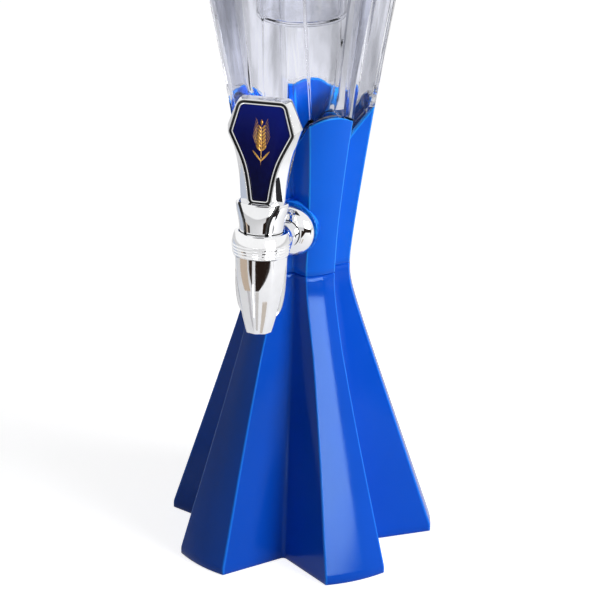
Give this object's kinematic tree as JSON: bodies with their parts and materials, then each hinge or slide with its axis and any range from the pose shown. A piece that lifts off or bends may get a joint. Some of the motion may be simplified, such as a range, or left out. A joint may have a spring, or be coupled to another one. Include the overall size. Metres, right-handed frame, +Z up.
{
  "type": "beer tower dispenser",
  "caption": "Tall beer tower: a blue star-plan base and collar carry a clear flared tank with an ice tube and lift-off lid, and a chrome tap with a shield-shaped lever pours in front.",
  "frame": {"origin": "the middle of the base's underside, on the floor under the tower's axis", "axes": "+Z up along the tower, -Y out over the valley that holds the tap, +X to the right of someone facing the tap"},
  "size_m": [0.1746, 0.1966, 0.5503],
  "materials": {
    "base_skirt": "glossy royal blue moulding",
    "base_plate": "matt black moulding",
    "base_plate_screw_1": "plated steel",
    "base_plate_screw_2": "plated steel",
    "base_plate_screw_3": "plated steel",
    "base_plate_screw_4": "plated steel",
    "base_plate_screw_5": "plated steel",
    "neck_screw_1": "plated steel",
    "neck_screw_2": "plated steel",
    "neck_screw_3": "plated steel",
    "neck_screw_4": "plated steel",
    "neck_screw_5": "plated steel",
    "rubber_foot_1": "matt black rubber",
    "rubber_foot_2": "matt black rubber",
    "rubber_foot_3": "matt black rubber",
    "rubber_foot_4": "matt black rubber",
    "rubber_foot_5": "matt black rubber",
    "rubber_foot_6": "matt black rubber",
    "collar": "glossy royal blue moulding",
    "tank_seat_pad": "matt black rubber",
    "tank": "clear moulded plastic",
    "tap_flange_washer": "matt black rubber",
    "tank_hole_washer": "milky silicone",
    "tap_escutcheon": "polished chrome",
    "tap_shank": "natural nylon",
    "shank_nut": "natural nylon",
    "tap_body": "polished chrome",
    "bonnet_ring": "polished chrome",
    "valve_bonnet": "satin black moulding",
    "stem_o_ring": "black rubber",
    "lever_pin": "ground steel",
    "tap_lever": "polished chrome",
    "badge_frame": "polished chrome",
    "badge_plate": "deep blue gloss",
    "valve_stem": "natural acetal",
    "valve_seal": "black rubber",
    "lid": "glossy royal blue moulding",
    "lid_seal": "milky silicone",
    "ice_tube": "clear moulded plastic",
    "ice_tube_cap": "glossy royal blue moulding",
    "ice_cap_seal": "milky silicone"
  },
  "bodies": {
    "tower": {"base_skirt": "base_skirt", "base_plate": "base_plate", "base_plate_screw_1": "base_plate_screw_1", "base_plate_screw_2": "base_plate_screw_2", "base_plate_screw_3": "base_plate_screw_3", "base_plate_screw_4": "base_plate_screw_4", "base_plate_screw_5": "base_plate_screw_5", "neck_screw_1": "neck_screw_1", "neck_screw_2": "neck_screw_2", "neck_screw_3": "neck_screw_3", "neck_screw_4": "neck_screw_4", "neck_screw_5": "neck_screw_5", "rubber_foot_1": "rubber_foot_1", "rubber_foot_2": "rubber_foot_2", "rubber_foot_3": "rubber_foot_3", "rubber_foot_4": "rubber_foot_4", "rubber_foot_5": "rubber_foot_5", "rubber_foot_6": "rubber_foot_6", "collar": "collar", "tank_seat_pad": "tank_seat_pad", "tank": "tank", "tap_flange_washer": "tap_flange_washer", "tank_hole_washer": "tank_hole_washer", "tap_escutcheon": "tap_escutcheon", "tap_shank": "tap_shank", "shank_nut": "shank_nut", "tap_body": "tap_body", "bonnet_ring": "bonnet_ring", "valve_bonnet": "valve_bonnet", "stem_o_ring": "stem_o_ring", "lever_pin": "lever_pin"},
    "lever": {"tap_lever": "tap_lever", "badge_frame": "badge_frame", "badge_plate": "badge_plate"},
    "stem": {"valve_stem": "valve_stem", "valve_seal": "valve_seal"},
    "top_lid": {"lid": "lid", "lid_seal": "lid_seal"},
    "ice_insert": {"ice_tube": "ice_tube"},
    "ice_cap": {"ice_tube_cap": "ice_tube_cap", "ice_cap_seal": "ice_cap_seal"}
  },
  "joints": [
    {"name": "lever_tilt", "type": "hinge", "parent": "tower", "child": "lever", "pos_m": [-0.00532, -0.09434, 0.23853], "axis": [0.9962, -0.0872, 0], "range_deg": [0, 25]},
    {"name": "stem_lift", "type": "slide", "parent": "tower", "child": "stem", "axis": [0.0087, 0.0998, 0.995], "range_m": [0, 0.003]},
    {"name": "lid_lift", "type": "slide", "parent": "tower", "child": "top_lid", "axis": [0, 0, 1], "range_m": [0, 0.2]},
    {"name": "ice_tube_lift", "type": "slide", "parent": "top_lid", "child": "ice_insert", "axis": [0, 0, 1], "range_m": [0, 0.2]},
    {"name": "ice_cap_lift", "type": "slide", "parent": "ice_insert", "child": "ice_cap", "axis": [0, 0, 1], "range_m": [0, 0.05]}
  ],
  "couplings": [
    {"joint": "stem_lift", "follows": "lever_tilt", "m_per_rad": 0.00678}
  ]
}
